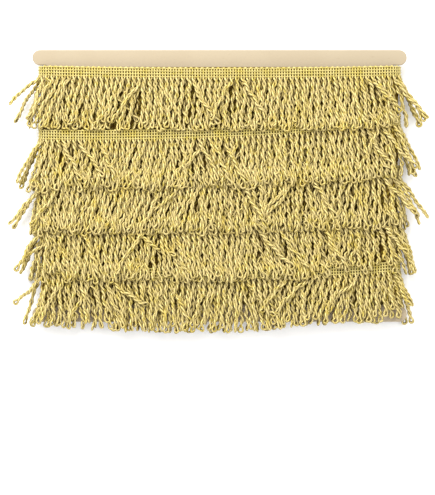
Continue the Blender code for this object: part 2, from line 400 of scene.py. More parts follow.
class Finish:
    """A material under construction, around one Principled shader."""

    def __init__(self, name):
        self.material = bpy.data.materials.new(name)
        self.material.use_nodes = True
        self.tree = self.material.node_tree
        self.shader = self.tree.nodes["Principled BSDF"]

    def node(self, kind, settings=(), **inputs):
        """Adds a node. settings are pairs of a property and its value, set first; then each
        input gets its value or its link. An input's name has _ for a space."""
        made = self.tree.nodes.new(kind)
        for name, value in settings:
            setattr(made, name, value)
        for name, value in inputs.items():
            self.feed(made.inputs[name.replace("_", " ")], value)
        return made

    def feed(self, place, value):
        """Gives a socket a value or a link."""
        if isinstance(value, Value):
            value = value.socket
        if isinstance(value, bpy.types.NodeSocket):
            self.tree.links.new(value, place)
        else:
            place.default_value = value

    def value(self, socket):
        return Value(self.tree, socket)

    def attribute(self, name):
        made = self.node("ShaderNodeAttribute", [("attribute_name", name)])
        return self.value(made.outputs["Fac"])

    def noise(self, vector, scale, detail=2.0, roughness=0.5):
        made = self.node(
            "ShaderNodeTexNoise", Vector=vector, Scale=scale, Detail=detail, Roughness=roughness
        )
        return self.value(made.outputs["Fac"])

    def blend(self, share, low, high):
        """From the low colour to the high one by a share from 0 to 1."""
        made = self.node("ShaderNodeMix", [("data_type", "RGBA")])
        factor, first, second = made.inputs[0], made.inputs[6], made.inputs[7]
        for place, value in ((factor, share), (first, low), (second, high)):
            self.feed(place, (*value, 1) if isinstance(value, tuple) else value)
        return made.outputs[2]

    def bump(self, height, distance, strength=1.0):
        made = self.node("ShaderNodeBump", Height=height, Distance=distance, Strength=strength)
        return made.outputs["Normal"]

    def set(self, **inputs):
        for name, value in inputs.items():
            self.feed(self.shader.inputs[name.replace("_", " ")], value)


def yarn_finish(name, colours, tint):
    """Gold yarn. Its own strands run round it as stripes: a stripe's place is the sum of the place
    round the yarn and the place along it, so it climbs as a screw. Shade is painted into the
    colour: on the side where two yarns meet, in the grooves between the strands, on the deep cords
    and on the covered headings."""
    finish = Finish(name)
    light, deep, grey, warm = (
        tuple(part * share for part, share in zip(colour, tint))
        for colour in (colours.gold_light, colours.gold_deep, colours.gold_grey, colours.gold_warm)
    )
    place = finish.node("ShaderNodeUVMap", [("uv_map", "yarn")]).outputs["UV"]
    split = finish.node("ShaderNodeSeparateXYZ", Vector=place)
    along, round_it = finish.value(split.outputs["X"]), finish.value(split.outputs["Y"])
    where = finish.node("ShaderNodeTexCoord").outputs["Object"]
    patches = finish.noise(where, GREY_PATCHES)
    tone = finish.attribute("tone")
    screw = (round_it + along * STRAND_TURNS) * math.tau
    stripe = (screw * STRANDS).sine() * 0.5 + 0.5
    aside, ahead = screw.sine() * FIBRES_ROUND, (screw + math.pi / 2).sine() * FIBRES_ROUND
    drawn = finish.node("ShaderNodeCombineXYZ", X=along * FIBRE_RUNS + tone * 97, Y=aside, Z=ahead)
    flecks = finish.noise(drawn.outputs[0], 1.0, 1.0)
    clouds = finish.noise(where, WARM_PATCHES)
    strip = (stripe * 0.5 + (flecks - 0.5) * 3.4 + 0.25).between(0.15, 0.85)
    # painted shade in the grooves between the yarn's strands: 1 on a strand, 0.35 between them
    groove_unshaded = (stripe + (patches - 0.5) * 0.4).between(0.0, 0.35) * 0.65 + 0.35
    # painted shade on the yarn's inner side, where it meets the other yarn of its cord: 0 there, 1
    # on the outer side
    unshaded_share = finish.attribute("facing").between(0.05, 0.44)
    ground = finish.blend((patches + tone * 0.25).between(0.42, 0.78), deep, grey)
    ground = finish.blend((clouds + tone * 0.2).between(0.66, 0.9), ground, warm)
    lit = finish.blend(strip * (tone * 0.2 + 0.75), ground, light)
    # painted shade on the deep cords and on the covered headings
    unshaded_share = unshaded_share * (1 - finish.attribute("depth") * DEPTH_SHADE)
    finish.set(
        Base_Color=finish.blend(unshaded_share * groove_unshaded, tuple(colours.gold_painted_shade), lit),
        Metallic=strip * 0.3 + 0.1,
        Roughness=0.65 - strip * 0.2,
        Normal=finish.bump(stripe * 0.5 + flecks * 0.5, 0.18 * MM, 0.8),
        Specular_IOR_Level=0.05,
    )
    return finish.material


def shaded_under_finish(name, colours, pitch, twist_length):
    """The cords underneath, drawn on their ridges and painted in shade: their colour is mostly the
    shaded gold, lighter on the crests. The first UV is the distance across the cords and the second
    the distance down. A crest is a sine of both: of twice the distance down and 2.2 times the one
    across, over the twist's length, with a shift for each cord."""
    finish = Finish(name)
    place = finish.node("ShaderNodeUVMap", [("uv_map", "yarn")]).outputs["UV"]
    split = finish.node("ShaderNodeSeparateXYZ", Vector=place)
    across, down = finish.value(split.outputs["X"]), finish.value(split.outputs["Y"])
    where = finish.node("ShaderNodeTexCoord").outputs["Object"]
    flecks = finish.noise(where, 1300.0, 1.0)
    cord = (across * (1 / pitch)).maths("FLOOR")
    crest = (down * 2 + across * 2.2 + cord * 0.37 * twist_length) * (1 / twist_length)
    crest = (crest * math.tau).sine() * 0.5 + 0.5
    middle = 1 - ((across * (1 / pitch)).maths("FRACT") * 2 - 1).maths("ABSOLUTE").power(2.0)
    share = (crest * middle + (flecks - 0.5) * 0.3).between(0.15, 0.9)
    finish.set(
        # painted shade: the shaded gold, at most 0.4 of the way to the deep gold on the crests, and
        # darker between the cords and between the plies
        Base_Color=finish.blend(share * 0.4, tuple(colours.gold_painted_shade), tuple(colours.gold_deep)),
        Metallic=0.1,
        Roughness=0.6 - share * 0.15,
        Normal=finish.bump(crest * middle, 0.8 * MM, 1.0),
        Specular_IOR_Level=0.1,
    )
    return finish.material


def kraft_finish(colours):
    """Matt paper board: a pale ground with short darker fibres and faint broad clouds."""
    finish = Finish("kraft paper")
    where = finish.node("ShaderNodeTexCoord").outputs["Object"]
    long_grain = finish.node("ShaderNodeMapping", Vector=where, Scale=(0.25, 1.0, 1.0)).outputs[0]
    fibres = finish.noise(long_grain, 2400.0, 3.0, 0.6)
    clouds = finish.noise(where, 28.0)
    flecks = finish.noise(long_grain, 620.0).between(0.66, 0.74)
    paper, dark = tuple(colours.kraft), tuple(colours.kraft_dark)
    share = fibres.between(0.55, 0.8) * 0.35 + clouds.between(0.4, 0.7) * 0.10 + flecks * 0.18
    finish.set(
        Base_Color=finish.blend(share, paper, dark),
        Roughness=0.86 + (fibres - 0.5) * 0.12,
        Normal=finish.bump(fibres, 0.05 * MM, 0.5),
        Specular_IOR_Level=0.3,
    )
    return finish.material


def stadium(lap, offset):
    """A place round the card, as X and Y, and the outward direction there. Along the faces it is
    a straight line, and round the edges half a circle about the bend's centre."""
    turn = np.mod(lap, 4.0)
    side = np.floor(turn)
    share = turn - side
    angle = np.pi * share
    run = BEND_CENTRE * (2 * share - 1)
    faces = [side == 0, side == 1, side == 2]
    out_x = np.select(faces, [0 * share, np.sin(angle), 0 * share], -np.sin(angle))
    out_y = np.select(faces, [0 * share - 1, -np.cos(angle), 0 * share + 1], np.cos(angle))
    middle = np.select(faces, [run, 0 * run + BEND_CENTRE, -run], -BEND_CENTRE)
    return middle + out_x * offset, out_y * offset, out_x, out_y


def heading_drop(row, lap):
    """The drop of the heading's top edge: a sagging line on the front, level round the edges,
    and behind a straight climb to the left end of the row above."""
    this = ROWS[row]
    above = ROWS[row - 1].left if row else this.right
    sag = this.middle - (this.left + this.right) / 2
    front = this.left + (this.right - this.left) * lap + sag * 4 * lap * (1 - lap)
    back = this.right + (above - this.right) * np.clip(lap - 2, 0, 1)
    edges = (this.left + 0 * lap, this.right + 0 * lap)
    return np.select([lap <= 0, lap < 1, lap <= 2], [edges[0], front, edges[1]], back)


EDGE_RUN = np.pi * HEADING_MIDDLE
FACE_RUN = 2 * BEND_CENTRE
RUNS = np.cumsum([-EDGE_RUN, EDGE_RUN, FACE_RUN, EDGE_RUN, FACE_RUN, EDGE_RUN])
TURN_RUN = 2 * (EDGE_RUN + FACE_RUN)


def lap_at(run):
    """The lap at a distance along the trim from the left end of the front."""
    return np.interp(run, RUNS, np.arange(-1.0, 5.0))


def turn_runs(row, pitch):
    """The distances along the trim of a turn's cords, evenly spaced. A turn starts and ends in
    the middle of the left edge, and the top one ends behind the card."""
    count = round(TURN_RUN / pitch)
    runs = (np.arange(count) + 0.5) * TURN_RUN / count - EDGE_RUN / 2
    if row == 0:
        runs = runs[runs < FACE_RUN + EDGE_RUN + TAIL_SHARE * FACE_RUN]
    return runs


def to_world(points):
    """From the card's own directions, with Z up from its lower edge, to the part's frame."""
    x, y, z = np.moveaxis(points, -1, 0)
    return np.stack([x + CARD_MIDDLE_X, z + CARD_LOW[1], CARD_MIDDLE_Z - y], axis=-1)


def turned(directions):
    """A direction from the card's own ones to the part's frame."""
    x, y, z = np.moveaxis(directions, -1, 0)
    return np.stack([x, z, -y], axis=-1)


def unit(vectors):
    return vectors / np.maximum(np.linalg.norm(vectors, axis=-1, keepdims=True), 1e-12)


def smooth(share):
    """Rises smoothly from 0 to 1 as the share does."""
    share = np.clip(share, 0.0, 1.0)
    return share * share * (3 - 2 * share)


def put_mesh(name, points, faces, material, uv=None, **numbers):
    """Makes an object at the origin from world points and quads. uv has a pair for each corner
    of each face, and each of the others is an attribute with a number for each point."""
    mesh = bpy.data.meshes.new(name)
    mesh.vertices.add(len(points))
    mesh.vertices.foreach_set("co", points.astype(np.float32).ravel())
    mesh.loops.add(faces.size)
    mesh.loops.foreach_set("vertex_index", faces.astype(np.int32).ravel())
    mesh.polygons.add(len(faces))
    mesh.polygons.foreach_set("loop_start", np.arange(len(faces), dtype=np.int32) * faces.shape[1])
    if uv is not None:
        layer = mesh.uv_layers.new(name="yarn")
        layer.uv.foreach_set("vector", uv.astype(np.float32).ravel())
    for title, values in numbers.items():
        layer = mesh.attributes.new(title, "FLOAT", "POINT")
        layer.data.foreach_set("value", values.astype(np.float32).ravel())
    mesh.update(calc_edges=True)
    mesh.validate()
    mesh.shade_smooth()
    mesh.materials.append(material)
    made = bpy.data.objects.new(name, mesh)
    bpy.context.scene.collection.objects.link(made)
    return made


# The closing ring at a tube's end, as a share of its radius
TUBE_END = 0.12


def tubes(paths, radius, sides, outward):
    """Round tubes along many paths at once. paths has an axis of tubes, of sections and of X, Y, Z,
    and outward a direction for each section. The ring at a section is the middle plus radius times
    cosine along the outward side and sine along the other side. Each tube is closed by its end
    rings, drawn to their middles. Returns points, quads, corner UVs, and for each point how far it
    faces outward, from 0 to 1. The yarn's material uses this to paint shade on the side that faces
    inward."""
    count, sections = paths.shape[:2]
    ahead = unit(np.gradient(paths, axis=1))
    first = unit(outward - (outward * ahead).sum(-1, keepdims=True) * ahead)
    second = np.cross(ahead, first)
    angle = np.arange(sides) * math.tau / sides
    ring = np.cos(angle)[:, None] * first[:, :, None] + np.sin(angle)[:, None] * second[:, :, None]
    body = paths[:, :, None] + radius * ring
    ends = np.stack([paths[:, 0], paths[:, -1]], axis=1)[:, :, None]
    closing = np.repeat(ends, sides, axis=2) + TUBE_END * (body[:, [0, -1]] - ends)
    body = np.concatenate([closing[:, :1], body, closing[:, 1:]], axis=1)
    rows = sections + 2
    index = np.arange(count * rows * sides).reshape(count, rows, sides)
    beside = np.roll(index, -1, axis=2)
    faces = np.stack([index[:, :-1], beside[:, :-1], beside[:, 1:], index[:, 1:]], axis=-1)
    steps = np.linalg.norm(np.diff(paths, axis=1), axis=-1)
    along = np.pad(np.cumsum(steps, axis=1), ((0, 0), (2, 1)), mode="edge")
    along[:, :2] = 0
    u_low = np.broadcast_to(along[:, :-1, None], (count, rows - 1, sides))
    u_high = np.broadcast_to(along[:, 1:, None], (count, rows - 1, sides))
    v_low = np.broadcast_to(np.arange(sides) / sides, u_low.shape)
    v_high = v_low + 1 / sides
    pairs = ((u_low, v_low), (u_low, v_high), (u_high, v_high), (u_high, v_low))
    uv = np.stack([np.stack(pair, axis=-1) for pair in pairs], axis=-2).reshape(-1, 2)
    facing = np.broadcast_to(0.5 + 0.5 * np.cos(angle), (count, rows, sides))
    return body.reshape(-1, 3), faces.reshape(-1, 4), uv, facing.ravel()


def claim(piece, node):
    """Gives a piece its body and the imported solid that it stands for."""
    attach(piece, "root")
    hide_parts(node)


def tube_tones(tones, sections, sides):
    """One tone for each tube, repeated over its points."""
    return np.repeat(tones, (sections + 2) * sides)


def curve_weights(knots, samples):
    """Weights that read a smooth Catmull-Rom curve through knots at evenly spaced samples."""
    place = np.linspace(0, knots - 1, samples)
    start = np.minimum(place.astype(int), knots - 2)
    t = place - start
    table = np.zeros((samples, knots))
    parts = (
        (-1, (-t + 2 * t**2 - t**3) / 2),
        (0, (2 - 5 * t**2 + 3 * t**3) / 2),
        (1, (t + 4 * t**2 - 3 * t**3) / 2),
        (2, (t**3 - t**2) / 2),
    )
    for step, weight in parts:
        at = np.clip(start + step, 0, knots - 1)
        np.add.at(table, (np.arange(samples), at), weight)
    return table


def cord_leans(row, laps, share, dice):
    """The lean of each cord in degrees: a share of the row's table, with a little disorder.
    Behind the card the leans are another row's, smaller. Also says which cords cross others."""
    this = ROWS[row]
    steps = np.linspace(0, 1, len(this.leans))
    front = np.interp(laps, steps, this.leans)
    borrowed = np.array(ROWS[(row + 2) % len(ROWS)].leans) * LEAN_BEHIND
    back = np.interp(3 - laps, steps, borrowed[::-1])
    leans = np.where(laps < 1.5, front * share, back)
    leans = leans + dice.normal(0, LEAN_SPREAD, len(laps))
    crossing = dice.random(len(laps)) < CROSSING_SHARE
    return np.where(crossing, leans + dice.normal(0, CROSSING_LEAN, len(laps)), leans), crossing


def plan_cords(row, runs, sizes, dice, lean_share, spread):
    """Where the cords would lie with nothing in their way. Each leaves the heading straight
    down, and its lean grows to its own angle, so a place is the running sum of sines and
    cosines of that angle. Round the edges they lean outwards instead. Also gives the length of
    a step, the way out, and the face on which a cord keeps between its neighbours, or 0."""
    laps = lap_at(runs)
    count = len(runs)
    x, y, out_x, out_y = stadium(laps, HEADING_MIDDLE)
    top = CARD_HEIGHT - heading_drop(row, laps) - sizes.heading_height
    lengths = sizes.cord_length * (1 - spread * dice.random(count) ** LENGTH_RARITY)
    for middle, half, share in ROWS[row].shorts:
        within = smooth(SHORT_FLAT * (1 - np.abs(laps - middle) / half))
        lengths = lengths * (1 - (1 - share) * within)
    step = lengths / (CORD_POINTS - 1)
    along = (np.arange(CORD_POINTS - 1) + 0.5) / (CORD_POINTS - 1)
    leans, crossing = cord_leans(row, laps, lean_share, dice)
    bends = dice.normal(0, BEND_SPREAD, count)
    lifts = dice.random(count) ** 2 * LIFT_SPREAD
    way = np.full(count, LEAN_WAY)
    on_face = np.mod(laps + EDGE_JOINING, 2) < 1 + 2 * EDGE_JOINING
    for share, lean, bend in ROWS[row].strays:
        chosen = np.argmin(np.abs(laps - share))
        leans[chosen] = lean * lean_share
        bends[chosen] = bend
        lifts[chosen] = STRAY_LIFT * lean_share
        way[chosen] = STRAY_WAY
        crossing[chosen] = True
        on_face[chosen] = True
    bending = bends[:, None] * (along - BEND_TURN)
    angle = np.radians(leans[:, None] * smooth(along / way[:, None]) + bending)
    edge_share = 1 - np.abs(2 * (laps % 1) - 1)
    reach = np.where(laps < 0.5, ROWS[row].reach_left, ROWS[row].reach_right)
    reach = np.where(laps > 2.5, ROWS[max(row - 1, 0)].reach_left, reach)
    reach = reach * (CORNER_REACH + EDGE_REACH * edge_share) * dice.uniform(*REACH_SPREAD, count)
    splay = np.arcsin(np.clip(reach / lengths, 0, MOST_SPLAY))
    splay = splay[:, None] * smooth(along / EDGE_WAY) + np.radians(bending)
    outward = np.where((laps < 0.5) | (laps > 2.5), -1.0, 1.0)
    angle = np.where(on_face[:, None], angle, splay * outward[:, None])
    aside = np.pad(np.cumsum(np.sin(angle), axis=1), ((0, 0), (1, 0))) * step[:, None]
    down = np.pad(np.cumsum(np.cos(angle), axis=1), ((0, 0), (1, 0))) * step[:, None]
    rise = smooth(np.linspace(0, 1, CORD_POINTS) / LIFT_WAY) * (lifts[:, None] + LEAST_LIFT)
    points = np.stack(
        [
            x[:, None] + aside + out_x[:, None] * rise,
            y[:, None] + out_y[:, None] * rise,
            top[:, None] - down,
        ],
        axis=-1,
    )
    out = np.stack([out_x, out_y, np.zeros(count)], axis=-1)
    face = np.where(on_face & ~crossing, np.where(laps < 1.5, FRONT, BACK), 0)
    return points, step, out, face


def near_pairs(points, others):
    """Pairs of a cord's point with a point of another cord, or of the turn below, that are
    close enough to touch soon."""
    flat = points.reshape(-1, 3)
    every = np.concatenate([flat, others]).astype(np.float32)
    squares = (every**2).sum(1)
    cord = np.arange(len(flat)) // CORD_POINTS
    found = []
    for start in range(0, len(flat), PAIR_BLOCK):
        part = every[start : min(start + PAIR_BLOCK, len(flat))]
        gaps = squares[start : start + len(part), None] + squares[None] - 2 * part @ every.T
        first, second = np.nonzero(gaps < PAIR_REACH**2)
        first += start
        known = (second >= len(flat)) | (second > first)
        found.append(np.stack([first[known], second[known]]))
    first, second = np.concatenate(found, axis=1)
    own = second < len(flat)
    same = np.zeros(len(first), bool)
    same[own] = cord[first[own]] == cord[second[own]]
    return first[~same], second[~same]


def base_offset(row, points, lowest):
    """The least offset of a cord's side over what lies under it: the lowest one, or the next
    heading down where the cord crosses it, with a soft step at its edges."""
    x, y, z = np.moveaxis(points, -1, 0)
    drop = CARD_HEIGHT - z
    base = np.where(y < 0, lowest, BED_HIGH)
    if row + 1 < len(ROWS):
        share = np.clip((x / BEND_CENTRE + 1) / 2, 0, 1)
        lap = np.where(y < 0, share, 3 - share)
        edge = heading_drop(row + 1, lap)
        begun = smooth((drop - edge + STEP_ABOVE) / STEP_ABOVE)
        left = smooth((edge + STEP_END - drop) / STEP_BELOW)
        base = base + (HEADING_OUTER + STEP_CLEARANCE - base) * begun * left
    return base


def push_apart(flat, every, first, second, free, thickness):
    """Moves touching points apart until a cord's thickness is between them."""
    gap = every[second] - every[first]
    far = np.linalg.norm(gap, axis=1)
    short = np.maximum(thickness - far, 0) / np.maximum(far, 1e-9)
    own = second < len(flat)
    both = own & free[np.where(own, second, 0)] & free[first]
    share = np.where(both, 0.5, 1.0)
    move = gap * (short * share)[:, None]
    touching = short > 0
    total = np.zeros_like(flat)
    hits = np.bincount(first[touching], minlength=len(flat)).astype(float)
    mine = second[own]
    hits += np.bincount(mine[touching[own]], minlength=len(flat))
    for axis in range(3):
        total[:, axis] -= np.bincount(first, move[:, axis], minlength=len(flat))
        total[:, axis] += np.bincount(mine, move[own, axis], minlength=len(flat))
    total *= (FULL_TOUCHES / np.maximum(hits, FULL_TOUCHES))[:, None]
    return flat + total * free[:, None]


def settle(row, plan, step, face, rear, others, radius, passes):
    """Lets a turn's cords lie down. In each pass they are drawn towards their plan, sag, or swell
    out if they are rear ones, and go towards the middle between their neighbours. Then they
    straighten, part where they touch, rise onto what is under them but no more than their play
    above it, stay off the floor, and get their lengths back from the heading down."""
    points = plan.copy()
    count = len(points)
    free = np.ones((count, CORD_POINTS), bool)
    free[:, :CLAMPED] = False
    free = free.ravel()
    thickness = CORD_THICKNESS * radius
    floor = CARD_MIDDLE_Z - radius
    lowest = np.where(rear, REAR_BASE, FRONT_BASE)[:, None]
    play = np.where(rear, REAR_PLAY, FRONT_PLAY)[:, None]
    drift = np.where(rear, -SWELL_STEP, SAG_STEP)[:, None]
    groups = [np.nonzero(face == side)[0] for side in (FRONT, BACK)]
    for turn in range(passes):
        if turn % PAIR_EVERY == 0:
            first, second = near_pairs(points, others)
        loose = points[:, CLAMPED:]
        loose += PLAN_PULL * (plan[:, CLAMPED:] - loose)
        level = (np.abs(loose[..., 0]) < BEND_CENTRE) | (face == 0)[:, None]
        loose[..., 1] += drift * level
        for group in groups:
            line = loose[group, :, 0]
            loose[group[1:-1], :, 0] += EVENING * ((line[:-2] + line[2:]) / 2 - line[1:-1])
        inner = points[:, CLAMPED:-1]
        inner += STIFFNESS * ((points[:, CLAMPED - 1 : -2] + points[:, CLAMPED + 1 :]) / 2 - inner)
        flat = points.reshape(-1, 3)
        every = np.concatenate([flat, others])
        flat = push_apart(flat, every, first, second, free, thickness)
        points = flat.reshape(points.shape)
        x, y = points[..., 0], points[..., 1]
        nearest = np.clip(x, -BEND_CENTRE, BEND_CENTRE)
        out_x, out_y = x - nearest, y
        offset = np.maximum(np.hypot(out_x, out_y), 1e-6)
        seat = base_offset(row, points, lowest) + radius
        most = np.where(np.abs(out_x) > 0, np.inf, seat + play)
        kept = np.clip(offset, seat, most)
        kept[:, :CLAMPED] = offset[:, :CLAMPED]
        points[..., 0] = nearest + out_x / offset * kept
        points[..., 1] = np.minimum(out_y / offset * kept, floor)
        for k in range(CLAMPED, CORD_POINTS):
            ahead = unit(points[:, k] - points[:, k - 1])
            points[:, k] = points[:, k - 1] + ahead * step[:, None]
    return points


def cord_yarns(points, out, pitch, sizes, dice):
    """The yarn of each cord: down one side of the cord's middle line, round the loop and up the
    other side. Its place is the middle line plus an arm that turns with the twist. The arm
    starts at the rib, closes to the yarn's radius, opens again before the loop, and in the loop
    is the cosine of an angle whose sine is the way down."""
    weights = curve_weights(points.shape[1], CURVE_SAMPLES)
    middle = np.einsum("sk,nkd->nsd", weights, points)
    ahead = unit(np.gradient(middle, axis=1))
    first = unit(out[:, None] - (out[:, None] * ahead).sum(-1, keepdims=True) * ahead)
    second = np.cross(ahead, first)
    count = len(points)
    share = np.linspace(0, 1, CURVE_SAMPLES)
    for side, size in ((first, WAVE / 2), (second, WAVE)):
        turns = dice.uniform(*WAVE_TURNS, (count, 1))
        start = dice.uniform(0, math.tau, (count, 1))
        wave = size * smooth(share / WAVE_WAY) * np.sin(math.tau * turns * share + start)
        middle = middle + wave[..., None] * side
    loop_half = LOOP_ROUNDNESS * sizes.loop_width
    neck = sizes.cord_length - loop_half
    straight = np.linspace(0, neck, TWIST_SECTIONS + 1)
    bend = np.arange(1, LOOP_SECTIONS + 1) / LOOP_SECTIONS * np.pi / 2
    down = np.concatenate([straight, neck + loop_half * np.sin(bend)])
    narrow = sizes.yarn_radius * PRESSED
    arm = pitch / 4 + (narrow - pitch / 4) * smooth(straight / CLOSING)
    turns = dice.uniform(*GAPE_TURNS, (count, 1))
    start = dice.uniform(0, math.tau, (count, 1))
    gape = SLACK * np.maximum(np.sin(math.tau * turns * straight / neck + start), 0) ** 2
    arm = arm * (1 + gape * smooth(straight / GAPE_START))
    wide = sizes.loop_width / 2 * dice.uniform(*LOOP_SPREAD, count)
    opening = smooth((straight - neck + OPENING) / OPENING)
    arm = arm + (wide[:, None] - arm) * opening
    arm = np.concatenate([arm, wide[:, None] * np.cos(bend)], axis=1)
    twisting = np.clip(straight - TWIST_START, 0, neck - TWIST_END)
    halves = np.round(twisting[-1] * 2 / sizes.twist_length) + dice.integers(-1, 2, count)
    tilt = dice.normal(0, TWIST_TILT, count)
    rate = (np.pi * halves + tilt) / twisting[-1]
    waver = dice.normal(0, TWIST_WAVER, (count, 1))
    waves = dice.integers(1, 4, (count, 1))
    turning = -twisting * rate[:, None] + waver * np.sin(np.pi * waves * twisting / twisting[-1])
    angle = np.pi / 2 + np.pad(turning, ((0, 0), (0, LOOP_SECTIONS)), mode="edge")
    place = down / sizes.cord_length * (CURVE_SAMPLES - 1)
    low = np.minimum(place.astype(int), CURVE_SAMPLES - 2)
    part = (place - low)[None, :, None]

    def read(values):
        return values[:, low] * (1 - part) + values[:, low + 1] * part

    way = np.cos(angle)[..., None] * read(first) + np.sin(angle)[..., None] * read(second)
    line = read(middle)
    one = line + arm[..., None] * way
    other = line - arm[..., None] * way
    round_end = np.concatenate([0 * straight, bend])[None, :, None]
    aside, below = np.cos(round_end) * way, np.sin(round_end) * read(ahead)
    outward = np.concatenate([below + aside, (below - aside)[:, -2::-1]], axis=1)
    return np.concatenate([one, other[:, -2::-1]], axis=1), outward


def rib_yarns(row, runs, pitch, sizes):
    """The yarn of the heading between one cord and the next: up a rib, over the scalloped top
    and down the next rib. The top is half a circle."""
    gap = pitch / 4
    shoulder = sizes.heading_height - gap - sizes.yarn_radius * RIB_SHARE
    up = np.linspace(0, 1, RIB_POINTS) * shoulder
    arch = np.linspace(0, np.pi, RIB_POINTS)[1:-1]
    across = np.concatenate([0 * up - gap, -gap * np.cos(arch), 0 * up + gap])
    high = np.concatenate([up, shoulder + gap * np.sin(arch), up[::-1]])
    lap = lap_at(runs[:, None] + pitch / 2 + across[None])
    x, y, out_x, out_y = stadium(lap, HEADING_MIDDLE + 0 * lap)
    z = CARD_HEIGHT - heading_drop(row, lap) - sizes.heading_height + high[None]
    return np.stack([x, y, z], axis=-1), np.stack([out_x, out_y, 0 * z], axis=-1)


def thread_paths(row, runs, pitch, sizes):
    """The heading's lengthwise threads over one turn. Each is stitched over every rib and dips
    between them, so its offset is a cosine of the distance along, with a rib to a wave."""
    spacing = pitch / 4
    run = runs[0] - spacing + np.arange(len(runs) * 4) * spacing
    lap = lap_at(run)
    weave = np.cos(math.tau * (run - runs[0] + spacing) / (pitch / 2))
    x, y, out_x, out_y = stadium(lap, HEADING_MIDDLE + THREAD_LIFT + THREAD_DIP * weave)
    downs = (np.arange(THREADS) * THREAD_SPACING + THREAD_FIRST) * sizes.heading_height
    z = CARD_HEIGHT - heading_drop(row, lap) - downs[:, None]
    lines = np.stack([x + 0 * z, y + 0 * z, z], axis=-1)
    out = np.stack([out_x + 0 * z, out_y + 0 * z, 0 * z], axis=-1)
    return lines, out


class FRINGE_OT_card(bpy.types.Operator):
    """The winding card, with its ears and rounded paper edges"""

    bl_idname = "fringe.card"
    bl_label = "Card"

    def execute(self, context):
        """The outline is arcs joined by straight lines. The edge's profile is a quarter circle,
        a flat and another quarter circle, carried round the outline."""
        points, faces, caps = card_surface()
        mesh = bpy.data.meshes.new("kraft_card")
        mesh.from_pydata(points.tolist(), [], faces.tolist() + caps)
        mesh.validate()
        mesh.shade_smooth()
        mesh.set_sharp_from_angle(angle=math.radians(50))
        mesh.materials.append(kraft_finish(context.scene.fringe_colours))
        card = bpy.data.objects.new("kraft_card", mesh)
        context.scene.collection.objects.link(card)
        claim(card, "winding_card")
        return {"FINISHED"}


def card_surface():
    """The card's points, side faces and two flat faces."""
    radius = EAR_HEIGHT / 2
    tip = CARD_WIDTH / 2 - radius
    corner = NECK_WIDTH / 2 + NECK_FILLET
    ear = np.radians(np.linspace(-90, 90, 17))
    notch = np.radians(np.linspace(-90, -180, 6))
    low_ear = np.stack([tip + radius * np.cos(ear), radius + radius * np.sin(ear)], axis=1)
    shoulder = EAR_HEIGHT + NECK_FILLET
    low_notch = np.stack(
        [corner + NECK_FILLET * np.cos(notch), shoulder + NECK_FILLET * np.sin(notch)], axis=1
    )
    right = np.concatenate([low_ear, low_notch])
    right = np.concatenate([right, (right * [1, -1] + [0, CARD_HEIGHT])[::-1]])
    outline = np.concatenate([right, (right * [-1, 1])[::-1]])
    ahead = unit(np.roll(outline, -1, axis=0) - np.roll(outline, 1, axis=0))
    inward = np.stack([-ahead[:, 1], ahead[:, 0]], axis=1)
    turn = np.radians(np.linspace(0, 90, 5))
    low = CARD_ROUNDING * np.stack([1 - np.sin(turn), 1 - np.cos(turn)], axis=1)
    profile = np.concatenate([low, (low * [1, -1] + [0, CARD_THICKNESS])[::-1]])
    rings = outline[None] + profile[:, :1, None] * inward[None]
    x = rings[..., 0] + CARD_MIDDLE_X
    y = rings[..., 1] + CARD_LOW[1]
    z = np.broadcast_to(CARD_LOW[2] + profile[:, 1:], x.shape)
    points = np.stack([x, y, z], axis=-1)
    index = np.arange(x.size).reshape(x.shape)
    beside = np.roll(index, -1, axis=1)
    faces = np.stack([index[:-1], beside[:-1], beside[1:], index[1:]], axis=-1).reshape(-1, 4)
    caps = [index[0, ::-1].tolist(), index[-1].tolist()]
    return points.reshape(-1, 3), faces, caps


